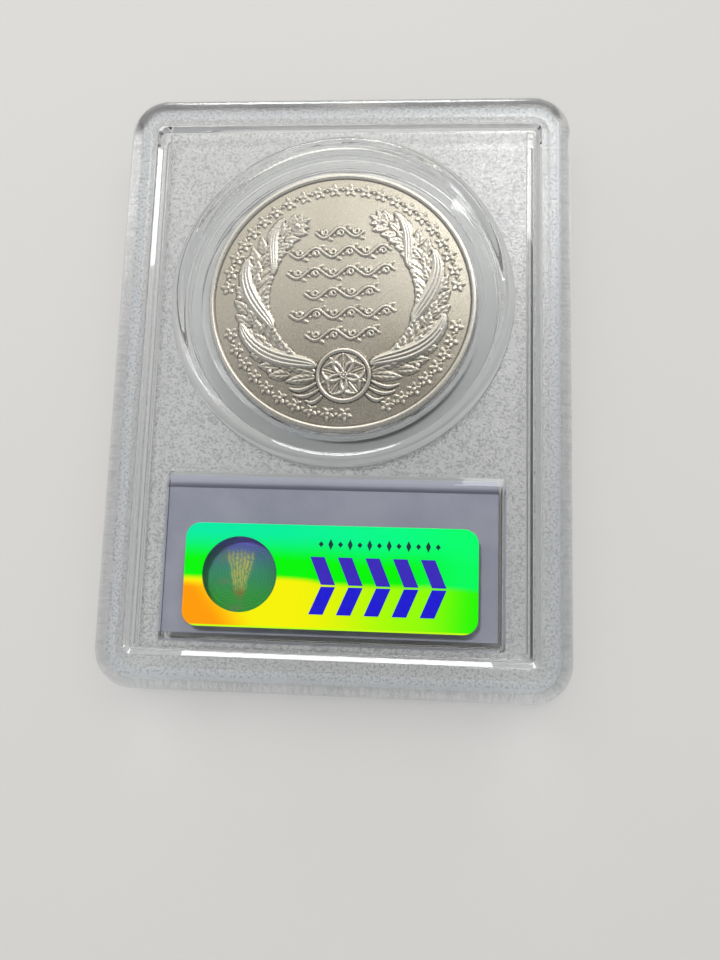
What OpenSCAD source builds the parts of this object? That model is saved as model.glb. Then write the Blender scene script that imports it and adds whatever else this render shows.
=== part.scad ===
// Graded coin slab: a sealed clear case that holds a large coin and its label.
// The case lies on its front face, so its back, with the foil seal, is up.
// Origin: middle of the front rails' plane. +Y runs towards the coin's end.

/* [Case] */
// Width of the case across the rails
case_w = 64; // [62:0.5:70]
// Length of the case along the rails
case_l = 85; // [84:0.5:92]
// Thickness over both rails
case_t = 7; // [6.8:0.1:9]
// Plan radius of the case's corners
corner_r = 5.5; // [5.4:0.1:6.5]
// Radius that rounds the outer edge of each rail
edge_r = 2.2; // [1:0.1:2.4]

/* [Rails and panels] */
// Width of each side rail, from the case's side to the recess
side_rail_w = 4.3; // [4:0.1:4.5]
// Width of each end rail, from the case's end to the recess
end_rail_w = 4.8; // [4.6:0.1:5.6]
// Depth of the recessed panel below the rails
recess_d = 0.8; // [0.5:0.1:1]
// How far the recess wall slopes inwards on its way down
recess_slope = 0.75; // [0.4:0.05:1]
// Thickness of the recessed panel
panel_t = 1.3; // [1:0.1:1.4]
// Width of the smooth ledge beside each side rail
ledge_w = 1.15; // [0.8:0.05:1.3]
// Height of that ledge above the panel
ledge_h = 0.18; // [0.1:0.02:0.3]

/* [Coin and its ring] */
// Diameter of the coin
coin_d = 38.1; // [37:0.1:38.1]
// Thickness of the coin at its rim
coin_t = 2.6; // [2.2:0.1:2.6]
// Width of the coin's raised rim
coin_rim_w = 0.75; // [0.5:0.05:1.2]
// Depth of the coin's field below its rim
coin_field_d = 0.22; // [0.1:0.02:0.4]
// Place of the coin's centre above the middle of the case
coin_y = 12.1; // [12:0.1:12.4]
// Outer diameter of the clear ring that grips the coin
ring_d = 44; // [43:0.1:44]
// Width of the bevel that opens each end of the ring's bore
ring_bevel = 1; // [0.5:0.1:1.2]
// Inner diameter of the raised bead around the coin's window
bead_inner_d = 44.3; // [44.3:0.1:45]
// Width of the raised bead
bead_w = 1.95; // [1:0.05:2]
// Height of the raised bead above the panel
bead_h = 0.6; // [0.3:0.05:0.7]

/* [Label] */
// Width of the label's window
window_w = 46.2; // [44:0.1:47]
// Length of the label's window
window_l = 22.9; // [20:0.1:23]
// Distance of the window's middle below the middle of the case
window_y = 24.45; // [24.4:0.05:24.6]
// Height of the window's raised face above the panel
window_h = 0.3; // [0.1:0.05:0.5]
// Width of the slope at the window's end nearest the coin
window_slope = 1.2; // [0.5:0.1:1.5]
// Width of the label card
card_w = 45.4; // [40:0.1:45.4]
// Length of the label card
card_l = 21.3; // [18:0.1:21.8]
// Thickness of the label card
card_t = 0.35; // [0.2:0.05:0.4]
// Sideways place of the card in its pocket
card_x = -0.4; // [-0.4:0.1:0.4]

/* [Foil seal] */
// Width of the foil strip
foil_w = 39.4; // [34:0.1:41]
// Length of the foil strip
foil_l = 13.8; // [12:0.1:16]
// Thickness of the foil strip
foil_t = 0.1; // [0.05:0.01:0.15]
// Radius of the foil strip's corners
foil_r = 2; // [1:0.1:3]
// Diameter of the round hole in the foil strip
foil_hole_d = 10.1; // [6:0.1:10.5]
// Diameter of the round seal under that hole
seal_d = 11.6; // [10.6:0.1:12]
// Thickness of the round seal
seal_t = 0.05; // [0.03:0.01:0.06]

/* [Hidden] */
$fn = 96;

half_w = case_w / 2;
half_l = case_l / 2;
mid_z = case_t / 2;
// centres of the four plan corners
corner_x = half_w - corner_r;
corner_y = half_l - corner_r;
panel_z = case_t - recess_d;
panel_inner_z = panel_z - panel_t;
// the wall around the cavity, measured outwards from the corner centres
wall_t = 4.5;
wall_in = corner_r - wall_t;
// the panel's edge stops this far inside the case's side, within the wall
panel_edge = 3;
// tongue and groove along the middle of that wall
tongue_w = 1.2;
tongue_h = 0.6;
groove_w = 1.3;
groove_d = 1;
tongue_inset = 2.3;
tongue_mid = corner_r - tongue_inset;
// recess
recess_r = 1.2;
recess_cx = half_w - side_rail_w - recess_r;
recess_cy = half_l - end_rail_w - recess_r;
cut_over = 0.1;
join = 0.2;
// seat ribs that centre the ring, and the gap left between opposite parts
seat_clear = 0.1;
seat_w = 1.6;
seat_gap = 0.1;
face_gap = 0.05;
bore_gap = 0.05;
bore_land = 0.8;
ring_r = ring_d / 2;
coin_r = coin_d / 2;
// solid window blocks stop short of the middle and leave a slot for the card
card_slot = 0.6;
lip_w = 0.8;
lip_top = 0.25;
window_side_slope = 0.3;
// the card sits a little towards the coin's end of its pocket
card_lift = 0.2;
card_y = card_lift - window_y;
card_z = mid_z - card_slot / 2 + face_gap;
// places of the foil strip, its hole and the seal, which sits a little off the hole
foil_x = -0.2;
foil_y = -26.9;
hole_x = -12.35;
hole_y = -26.8;
seal_offset = 0.3;
seal_x = hole_x - seal_offset;
big = 200;

// Rounded rectangle, as two crossed rectangles and four circles
module round_rect(hx, hy, r) {
    square([2 * (hx - r), 2 * hy], center = true);
    square([2 * hx, 2 * (hy - r)], center = true);
    for (sx = [-1, 1], sy = [-1, 1])
        translate([sx * (hx - r), sy * (hy - r)])
            circle(r);
}

// Rounded plate between two heights
module round_plate(hx, hy, r, z0, z1) {
    translate([0, 0, z0])
        linear_extrude(z1 - z0)
            round_rect(hx, hy, r);
}

// Straight run of a profile along Y, at distance cx, from -cy to cy
module side_run(cx, cy) {
    translate([cx, cy, 0])
        rotate([90, 0, 0])
            linear_extrude(2 * cy)
                children();
}

// Sweep a profile around a rectangle whose corner centres are (cx, cy).
// The profile's x is the distance outwards, its y is the height.
module frame_sweep(cx, cy) {
    for (m = [0, 1]) {
        mirror([m, 0, 0])
            side_run(cx, cy)
                children();
        rotate([0, 0, 90 + 180 * m])
            side_run(cy, cx)
                children();
    }
    for (mx = [0, 1], my = [0, 1])
        mirror([mx, 0, 0])
            mirror([0, my, 0])
                translate([cx, cy, 0])
                    rotate_extrude(angle = 90)
                        children();
}

// Section of one half of the wall: upright at the joint, rounded at the rail
module wall_section() {
    straight_h = case_t - edge_r;
    translate([wall_in, mid_z])
        square([wall_t, straight_h - mid_z]);
    translate([wall_in, mid_z])
        square([wall_t - edge_r, mid_z]);
    translate([corner_r - edge_r, straight_h])
        intersection() {
            circle(edge_r);
            square(edge_r);
        }
}

// The recess inside the rails, with sloped walls
module recess_cut() {
    foot = recess_r - recess_slope;
    run = recess_slope * cut_over / recess_d;
    round_plate(recess_cx + foot / 2, recess_cy + foot / 2, foot / 2, panel_z, case_t + cut_over);
    frame_sweep(recess_cx, recess_cy)
        polygon([
            [0, panel_z],
            [foot, panel_z],
            [recess_r + run, case_t + cut_over],
            [0, case_t + cut_over],
        ]);
}

// Smooth ledge beside each side rail
module ledges() {
    outer_x = recess_cx + recess_r - recess_slope + join;
    inner_x = recess_cx + recess_r - recess_slope - ledge_w;
    for (m = [0, 1])
        mirror([m, 0, 0])
            side_run(0, recess_cy + recess_r - recess_slope + join)
                polygon([
                    [inner_x, panel_z - join],
                    [inner_x, panel_z],
                    [inner_x + ledge_h, panel_z + ledge_h],
                    [outer_x, panel_z + ledge_h],
                    [outer_x, panel_z - join],
                ]);
}

// Rounded bead around the coin's window
module bead() {
    arc_r = (pow(bead_w / 2, 2) + pow(bead_h, 2)) / (2 * bead_h);
    mid_r = (bead_inner_d + bead_w) / 2;
    translate([0, coin_y, 0])
        rotate_extrude()
            intersection() {
                translate([mid_r, panel_z + bead_h - arc_r])
                    circle(arc_r);
                translate([mid_r - bead_w / 2, panel_z - join])
                    square([bead_w, bead_h + 2 * join]);
            }
}

// Ring-shaped rib inside the shell that centres the coin's ring
module seat_rib() {
    inner = ring_r + seat_clear;
    translate([0, coin_y, 0])
        rotate_extrude()
            translate([inner, mid_z + seat_gap])
                square([seat_w, panel_inner_z - mid_z - seat_gap + join]);
}

// Solid block under the label's window, raised a little on the outside
module window_block() {
    hw = window_w / 2;
    y_low = -window_y - window_l / 2;
    y_high = y_low + window_l;
    top = panel_z + window_h;
    low = mid_z + card_slot / 2;
    intersection() {
        translate([-hw, 0, 0])
            rotate([90, 0, 90])
                linear_extrude(window_w)
                    polygon([
                        [y_low, low],
                        [y_high, low],
                        [y_high, panel_z],
                        [y_high - window_slope, top],
                        [y_low + window_side_slope, top],
                        [y_low, panel_z],
                    ]);
        translate([0, y_high, 0])
            rotate([90, 0, 0])
                linear_extrude(window_l)
                    polygon([
                        [-hw, low],
                        [hw, low],
                        [hw, panel_z],
                        [hw - window_side_slope, top],
                        [window_side_slope - hw, top],
                        [-hw, panel_z],
                    ]);
    }
}

// Half of the case without its tongue or groove, drawn as the rear half
module shell_body() {
    difference() {
        union() {
            frame_sweep(corner_x, corner_y)
                wall_section();
            round_plate(
                half_w - panel_edge, half_l - panel_edge, corner_r - panel_edge,
                panel_inner_z, case_t
            );
        }
        recess_cut();
    }
    ledges();
    bead();
    seat_rib();
    window_block();
}

// Strip of rectangular section that follows the middle of the wall
module wall_strip(width, z0, z1) {
    frame_sweep(corner_x, corner_y)
        translate([tongue_mid - width / 2, z0])
            square([width, z1 - z0]);
}

module rear_shell() {
    color([0.93, 0.94, 0.95, 0.35])
        difference() {
            shell_body();
            wall_strip(groove_w, mid_z - cut_over, mid_z + groove_d);
        }
}

// The card's pocket wall, on the front shell only
module card_lip() {
    hx = window_w / 2 + cut_over;
    hy = window_l / 2 + cut_over;
    bottom = recess_d + panel_t - join;
    translate([0, -window_y, bottom])
        linear_extrude(mid_z + lip_top - bottom)
            difference() {
                square([2 * (hx + lip_w), 2 * (hy + lip_w)], center = true);
                square([2 * hx, 2 * hy], center = true);
            }
}

module front_shell() {
    color([0.92, 0.93, 0.95, 0.35]) {
        translate([0, 0, case_t])
            mirror([0, 0, 1])
                shell_body();
        wall_strip(tongue_w, mid_z - join, mid_z + tongue_h);
        card_lip();
    }
}

// Plastic melted from the tongue's crest, which fuses the two shells
module weld_seam() {
    color([0.85, 0.87, 0.9, 0.6])
        wall_strip(groove_w, mid_z + tongue_h, mid_z + groove_d);
}

// Clear ring with a bore that is narrow in the middle and bevelled outwards
module coin_ring() {
    bore_r = coin_r + bore_gap;
    z0 = recess_d + panel_t + face_gap;
    z1 = panel_inner_z - face_gap;
    color([0.95, 0.95, 0.96, 0.4])
        translate([0, coin_y, 0])
            rotate_extrude()
                polygon([
                    [ring_r, z0],
                    [ring_r, z1],
                    [bore_r + ring_bevel, z1],
                    [bore_r, mid_z + bore_land / 2],
                    [bore_r, mid_z - bore_land / 2],
                    [bore_r + ring_bevel, z0],
                ]);
}

// Coin blank with a raised rim on both faces
module coin() {
    field_r = coin_r - coin_rim_w;
    color([0.78, 0.76, 0.71])
        translate([0, coin_y, mid_z])
            difference() {
                cylinder(h = coin_t, r = coin_r, center = true);
                for (m = [0, 1])
                    mirror([0, 0, m])
                        translate([0, 0, coin_t / 2 - coin_field_d])
                            cylinder(h = big, r = field_r);
            }
}

module label_card() {
    color([0.57, 0.57, 0.64])
        translate([card_x, card_y, card_z])
            linear_extrude(card_t)
                square([card_w, card_l], center = true);
}

// Foil strip on the outside of the rear window, with a round hole
module foil_strip() {
    color([0.35, 0.95, 0.25])
        translate([0, 0, panel_z + window_h])
            linear_extrude(foil_t)
                difference() {
                    translate([foil_x, foil_y])
                        round_rect(foil_w / 2, foil_l / 2, foil_r);
                    translate([hole_x, hole_y])
                        circle(foil_hole_d / 2);
                }
}

// Round seal on the back of the card, seen through the foil strip's hole
module round_seal() {
    color([0.2, 0.5, 0.5])
        translate([seal_x, hole_y, card_z + card_t])
            cylinder(h = seal_t, r = seal_d / 2);
}

rear_shell();
front_shell();
weld_seam();
coin_ring();
coin();
label_card();
foil_strip();
round_seal();
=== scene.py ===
"""Graded coin slab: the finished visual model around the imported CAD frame.

Lengths in the mesh code are millimetres in the row frame. They become metres when a mesh is made.
The case lies on its front face, so its back, with the foil strip, is up (+Z).
"""

from math import cos, pi, radians, sin, tan

import bmesh
import bpy
import numpy as np
from mathutils import Euler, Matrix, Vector
from mathutils.geometry import tessellate_polygon


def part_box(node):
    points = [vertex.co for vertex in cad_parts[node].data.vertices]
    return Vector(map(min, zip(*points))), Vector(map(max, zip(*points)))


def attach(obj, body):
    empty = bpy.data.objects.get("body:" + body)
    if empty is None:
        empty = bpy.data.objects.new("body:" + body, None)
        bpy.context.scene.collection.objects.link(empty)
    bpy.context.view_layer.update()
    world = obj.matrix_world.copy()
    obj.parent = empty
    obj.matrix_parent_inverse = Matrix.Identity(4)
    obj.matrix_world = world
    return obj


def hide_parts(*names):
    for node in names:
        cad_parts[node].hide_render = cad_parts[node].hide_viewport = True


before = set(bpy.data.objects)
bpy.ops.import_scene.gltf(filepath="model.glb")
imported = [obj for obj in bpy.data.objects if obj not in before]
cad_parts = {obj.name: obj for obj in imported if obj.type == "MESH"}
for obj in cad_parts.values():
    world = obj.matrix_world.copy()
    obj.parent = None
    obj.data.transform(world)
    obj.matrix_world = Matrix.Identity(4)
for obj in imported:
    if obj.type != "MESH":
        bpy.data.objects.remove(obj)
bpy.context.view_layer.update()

MM = 0.001

# ------------------------ sizes from the frame


def box_mm(node):
    """A CAD node's lowest and highest corners, in millimetres."""
    low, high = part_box(node)
    return np.array(low) / MM, np.array(high) / MM


_, (HALF_W, HALF_L, CASE_T) = box_mm("rear_shell")
MID_Z = CASE_T / 2
CORNER_R, EDGE_R, WALL_T = 5.5, 2.2, 4.5
SIDE_RAIL_W, END_RAIL_W = 4.3, 4.8
RECESS_D, RECESS_SLOPE, RECESS_R = 0.8, 0.75, 1.2
PANEL_T = 1.3
PANEL_Z = CASE_T - RECESS_D
CEILING_Z = PANEL_Z - PANEL_T
LEDGE_W, LEDGE_H, LEDGE_GAP, LEDGE_END_GAP = 1.15, 0.18, 0.2, 0.3
PARTING_GAP = 0.02

coin_low, coin_high = box_mm("coin")
COIN_R = (coin_high[0] - coin_low[0]) / 2
COIN_Y = (coin_low[1] + coin_high[1]) / 2
RIM_W, FIELD_D = 0.75, 0.22
ring_low, ring_high = box_mm("coin_ring")
RING_R = (ring_high[0] - ring_low[0]) / 2
RING_BEVEL, RING_LAND = 1.0, 0.8
BEAD_INNER_R, BEAD_W, BEAD_H = 22.15, 1.95, 0.6
SEAT_W = 1.6

WINDOW_W, WINDOW_L, WINDOW_Y, WINDOW_H = 46.2, 22.9, -24.45, 0.3
WINDOW_SLOPE, WINDOW_SIDE_SLOPE = 1.2, 0.3
CARD_SLOT = 0.6
card_low, card_high = box_mm("label_card")
foil_low, foil_high = box_mm("foil_strip")
seal_low, seal_high = box_mm("round_seal")
SEAL_R = (seal_high[0] - seal_low[0]) / 2
SEAL_X, SEAL_Y, _ = (seal_low + seal_high) / 2
# the seal sits a little to the left of the foil's hole
SEAL_OFFSET, HOLE_R = 0.3, 5.05
HOLE_X, HOLE_Y = SEAL_X + SEAL_OFFSET, SEAL_Y
weld_low, weld_high = box_mm("weld_seam")
WELD_W = 1.3
# how far inside the case's side the middle of the tongue and groove runs
TONGUE_MID = 2.3

# points in a quarter turn of the case's corners and of small corners, and around a circle
CORNER_STEPS, SMALL_STEPS = 14, 4
CIRCLE_STEPS, SMALL_CIRCLE_STEPS = 192, 96
# edges that turn more than this look sharp
SHARP_ANGLE = radians(35)

# ------------------------ mesh helpers


class Skin:
    """Collects rings of points and the faces between them."""

    def __init__(self):
        self.points = []
        self.faces = []
        self.slots = []

    def ring(self, points):
        start = len(self.points)
        self.points.extend(tuple(p) for p in points)
        return list(range(start, len(self.points)))

    def bridge(self, a, b, slot=0):
        for i in range(len(a)):
            j = (i + 1) % len(a)
            self.faces.append((a[i], a[j], b[j], b[i]))
            self.slots.append(slot)

    def bridges(self, rings, slot=0):
        for a, b in zip(rings, rings[1:]):
            self.bridge(a, b, slot)

    def wall(self, outlines, slot=0, first=None):
        """Joins rings of points one after the other, the first one maybe made already."""
        rings = [] if first is None else [first]
        rings += [self.ring(points) for points in outlines]
        self.bridges(rings, slot)
        return rings

    def loop(self, outlines):
        """Rings of points joined all round, so they close on themselves."""
        rings = [self.ring(points) for points in outlines]
        self.bridges(rings + rings[:1])

    def cap(self, outer, holes=(), slot=0):
        """Fills a flat region between an outer ring and the rings of its holes."""
        loops = [outer, *holes]
        flat = [i for loop in loops for i in loop]
        shape = [[Vector(self.points[i]) for i in loop] for loop in loops]
        for tri in tessellate_polygon(shape):
            self.faces.append(tuple(flat[k] for k in tri))
            self.slots.append(slot)

    def build(self, name, materials, turned_over=False, smooth=True):
        """Makes the object, on the part's one body. turned_over mirrors it about mid-thickness."""
        mesh = bpy.data.meshes.new(name)
        points = np.array(self.points, float)
        if turned_over:
            points[:, 2] = CASE_T - points[:, 2]
        mesh.from_pydata((points * MM).tolist(), [], self.faces)
        for material in materials:
            mesh.materials.append(material)
        mesh.polygons.foreach_set("material_index", self.slots)
        return finished(mesh, name, smooth)


def placed(name, data):
    """Makes an object of a mesh, a lamp or a camera and puts it in the scene."""
    item = bpy.data.objects.new(name, data)
    bpy.context.scene.collection.objects.link(item)
    return item


def finished(mesh, name, smooth=True):
    """Merges the mesh's doubles, turns its normals outwards and makes it a piece of the part."""
    bm = bmesh.new()
    bm.from_mesh(mesh)
    bmesh.ops.remove_doubles(bm, verts=bm.verts, dist=1e-8)
    bmesh.ops.recalc_face_normals(bm, faces=bm.faces)
    bm.to_mesh(mesh)
    bm.free()
    piece = placed(name, mesh)
    if smooth:
        mesh.shade_smooth()
        mesh.set_sharp_from_angle(angle=SHARP_ANGLE)
        weighted = piece.modifiers.new("flat faces stay flat", "WEIGHTED_NORMAL")
        weighted.keep_sharp = True
    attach(piece, "root")
    return piece


def rounded_rect(cx, cy, hx, hy, r, z, steps=CORNER_STEPS):
    """A ring of points around a rectangle with round corners."""
    ring = []
    for quarter, (sx, sy) in enumerate([(1, 1), (-1, 1), (-1, -1), (1, -1)]):
        for k in range(steps + 1):
            turn = pi / 2 * (quarter + k / steps)
            x = cx + sx * (hx - r) + r * cos(turn)
            y = cy + sy * (hy - r) + r * sin(turn)
            ring.append((x, y, z))
    return ring


def around(count, r, start=0.0):
    """Evenly spaced directions, each with its place on a circle."""
    for k in range(count):
        turn = start + 2 * pi * k / count
        yield turn, r * cos(turn), r * sin(turn)


def circle(cx, cy, r, z, steps=CIRCLE_STEPS):
    """A ring of points around a circle."""
    return [(cx + x, cy + y, z) for _, x, y in around(steps, r)]


def filleted(corners, radius, steps=4):
    """A flat polyline with its inner corners rounded."""
    line = [corners[0]]
    for before, at, after in zip(corners, corners[1:], corners[2:]):
        at, a, b = Vector(at), Vector(before) - Vector(at), Vector(after) - Vector(at)
        half = a.angle(b) / 2
        reach = min(radius / tan(half), a.length * 0.48, b.length * 0.48)
        start, end = at + a.normalized() * reach, at + b.normalized() * reach
        for k in range(steps + 1):
            t = k / steps
            line.append(tuple((1 - t) ** 2 * start + 2 * t * (1 - t) * at + t * t * end))
    line.append(corners[-1])
    return line


def smoothstep(low, high, value):
    """Rises smoothly from 0 to 1 between low and high."""
    t = np.clip((value - low) / (high - low), 0, 1)
    return t * t * (3 - 2 * t)


# ------------------------ the two shells

POLISHED, FROSTED, SATIN = 0, 1, 2


def case_ring(inset, z):
    """A ring parallel to the case's outline."""
    return rounded_rect(0, 0, HALF_W - inset, HALF_L - inset, CORNER_R - inset, z)


def recess_ring(inset, z):
    """A ring parallel to the recess's upper edge."""
    r = max(RECESS_R - inset, 0.12)
    hx, hy = HALF_W - SIDE_RAIL_W - inset, HALF_L - END_RAIL_W - inset
    return rounded_rect(0, 0, hx, hy, r, z)


# how a plateau rises: shares of the far slope's width, of the other slopes' width, of the height
SLOPE = (
    (0, 0, 0), (0.06, 0.10, 0.03), (0.2, 0.28, 0.19), (0.5, 0.5, 0.5), (0.8, 0.72, 0.81),
    (0.94, 0.9, 0.97), (1, 1, 1),
)


def plateau(skin, mid, half, corner, rise, slope, far_slope):
    """A raised flat area. slope and far_slope are the widths of its sides and of its coin end."""
    outlines = []
    for far, side, share in SLOPE:
        low, high = side * slope, far * far_slope
        outlines.append(rounded_rect(
            mid[0], mid[1] + (low - high) / 2, half[0] - low, half[1] - (low + high) / 2,
            corner, PANEL_Z + rise * share, SMALL_STEPS,
        ))
    rings = skin.wall(outlines, POLISHED)
    skin.cap(rings[-1], slot=POLISHED)
    return rings[0]


def bead(skin):
    """The rounded bead around the coin's window, and the window. Returns its outer ring."""
    steps = 18
    # places as shares of the bead's half width, and heights: a soft foot at each side
    profile = [(1.1, 0.0), (1.04, 0.015)]
    for k in range(steps + 1):
        w = cos(pi * k / steps)
        profile.append((w * 0.985, BEAD_H * (1 - w * w * 0.94)))
    profile += [(-1.04, 0.015), (-1.1, 0.0)]
    mid = BEAD_INNER_R + BEAD_W / 2
    outlines = [circle(0, COIN_Y, mid + w * BEAD_W / 2, PANEL_Z + h) for w, h in profile]
    rings = skin.wall(outlines, POLISHED)
    skin.cap(rings[-1], slot=POLISHED)
    return rings[0]


def case_side(skin, first):
    """The side of a half, from its joint ring to the flat of the rail. Returns the last ring."""
    bevel, steps = 0.12, 12
    profile = [(bevel, MID_Z + PARTING_GAP), (0.0, MID_Z + PARTING_GAP + bevel)]
    for k in range(steps + 1):
        turn = pi / 2 * k / steps
        profile.append(
            (EDGE_R * (1 - cos(turn)), CASE_T - EDGE_R * (1 - sin(turn)))
        )
    return skin.wall([case_ring(d, z) for d, z in profile], SATIN, first)[-1]


def outer_face(skin, first):
    """Everything on the outside of a half, from the parting line to the windows."""
    rail = case_side(skin, first)
    wall = filleted(
        [(-0.5, CASE_T), (0, CASE_T), (RECESS_SLOPE, PANEL_Z), (RECESS_SLOPE + 0.4, PANEL_Z)], 0.16
    )[1:-1]
    inner = [skin.ring(recess_ring(s, z)) for s, z in wall]
    skin.bridge(rail, inner[0], FROSTED)
    skin.bridges(inner, POLISHED)
    ledge_x = HALF_W - SIDE_RAIL_W - RECESS_SLOPE - LEDGE_GAP - LEDGE_W / 2
    ledge_half = (LEDGE_W / 2, HALF_L - END_RAIL_W - RECESS_SLOPE - LEDGE_END_GAP)
    ledge_slope = 0.2
    holes = [
        plateau(
            skin, (side * ledge_x, 0), ledge_half, ledge_slope, LEDGE_H, ledge_slope, ledge_slope
        )
        for side in (-1, 1)
    ]
    holes.append(plateau(
        skin, (0, WINDOW_Y), (WINDOW_W / 2, WINDOW_L / 2), 0.45, WINDOW_H,
        WINDOW_SIDE_SLOPE, WINDOW_SLOPE,
    ))
    holes.append(bead(skin))
    skin.cap(inner[-1], holes, FROSTED)


def ring_seat(skin):
    """The round rib that centres the coin's ring. Returns its outer ring of points."""
    inside = RING_R + 0.1
    outside = inside + SEAT_W
    top, foot = MID_Z + 0.1, 0.3
    profile = filleted(
        [(outside + foot, CEILING_Z), (outside, CEILING_Z), (outside, top), (inside, top),
         (inside, CEILING_Z), (inside - foot, CEILING_Z)], 0.12, 3
    )[1:-1]
    seat = skin.wall([circle(0, COIN_Y, r, z) for r, z in profile], POLISHED)
    skin.cap(seat[-1], slot=POLISHED)
    return seat[0]


def window_rings(skin, levels):
    """Joined rings around the label's window, from (distance outwards, height) pairs."""
    return skin.wall([
        rounded_rect(0, WINDOW_Y, WINDOW_W / 2 + d, WINDOW_L / 2 + d, 0.4, z, SMALL_STEPS)
        for d, z in levels
    ], POLISHED)


def inner_face(skin, first, with_lip):
    """The cavity side of a half: ceiling, the ring's seat, the window block and the card's lip."""
    corner = filleted(
        [(WALL_T, MID_Z), (WALL_T, CEILING_Z), (WALL_T + 0.6, CEILING_Z)], 0.3
    )[1:-1]
    outlines = [case_ring(min(d, CORNER_R - 0.1), z) for d, z in corner]
    rings = skin.wall(outlines, POLISHED, first)
    seat = ring_seat(skin)
    block_z, block_edge = MID_Z + CARD_SLOT / 2, 0.1
    block = window_rings(
        skin, [(0, CEILING_Z), (0, block_z + block_edge), (-block_edge, block_z)]
    )
    skin.cap(block[-1], slot=POLISHED)
    if not with_lip:
        skin.cap(rings[-1], [seat, block[0]], POLISHED)
        return
    lip_z, lip_edge, inside, outside = MID_Z - 0.25, 0.08, 0.1, 0.9
    lip = window_rings(skin, [
        (outside, CEILING_Z), (outside, lip_z + lip_edge), (outside - lip_edge, lip_z),
        (inside + lip_edge, lip_z), (inside, lip_z + lip_edge), (inside, CEILING_Z),
    ])
    skin.cap(lip[-1], [block[0]], POLISHED)
    skin.cap(rings[-1], [seat, lip[0]], POLISHED)


def shell(name, materials, groove_depth, turned_over):
    """Half of the case. groove_depth is negative for a tongue."""
    skin = Skin()
    mate_z, joint_z = MID_Z + PARTING_GAP, MID_Z + groove_depth
    half = WELD_W / 2 if groove_depth > 0 else WELD_W / 2 - 0.05
    inside, outside = TONGUE_MID + half, TONGUE_MID - half
    joint = [(WALL_T, mate_z), (inside, mate_z), (inside, joint_z), (outside, joint_z),
             (outside, mate_z)]
    rings = skin.wall([case_ring(d, z) for d, z in joint], POLISHED)
    outer_face(skin, rings[-1])
    inner_face(skin, rings[0], with_lip=turned_over)
    return skin.build(name, materials, turned_over)


def weld_seam(name, material):
    """The bead of remelted plastic in the bottom of the groove."""
    skin = Skin()
    gap = 0.01
    d0, d1 = TONGUE_MID - WELD_W / 2 + gap, TONGUE_MID + WELD_W / 2 - gap
    z0, z1 = weld_low[2] + gap, weld_high[2] - gap
    start = (TONGUE_MID, z0)
    outline = filleted([start, (d1, z0), (d1, z1), (d0, z1), (d0, z0), start], 0.12, 3)[:-1]
    skin.loop(case_ring(d, z) for d, z in outline)
    return skin.build(name, [material])


def coin_ring(name, material):
    """The clear ring whose bevelled bore grips the coin."""
    skin = Skin()
    bore = COIN_R + 0.05
    z0, z1 = ring_low[2], ring_high[2]
    start = ((bore + RING_R) / 2, z0)
    corners = [
        start, (RING_R, z0), (RING_R, z1), (bore + RING_BEVEL, z1), (bore, MID_Z + RING_LAND / 2),
        (bore, MID_Z - RING_LAND / 2), (bore + RING_BEVEL, z0), start,
    ]
    skin.loop(circle(0, COIN_Y, r, z) for r, z in filleted(corners, 0.08, 3)[:-1])
    return skin.build(name, [material])


# ------------------------ the coin's relief
# Relief functions add to a height map over points (x, y) about the coin's centre.

REEDS = 188
# points around the coin's edge
AROUND = REEDS * 5
COIN_TURN = radians(3.2)
WREATH_R = 12.35
WREATH_FROM, WREATH_TO = radians(-58), radians(66)
LEAF_H = 0.2
MEDAL_Y, MEDAL_R = -10.95, 3.9
BORDER_R = 16.55
# the arcs of ornaments along the border, in degrees
BORDER_ARCS = ((5, 171), (195, 270), (291, 344))
# the rows of scrolls: place and half length
SCROLL_ROWS = ((10.1, 3.4), (7.2, 7.2), (4.2, 7.6), (1.1, 5.2), (-1.9, 7.4), (-5.0, 5.2))


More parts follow.
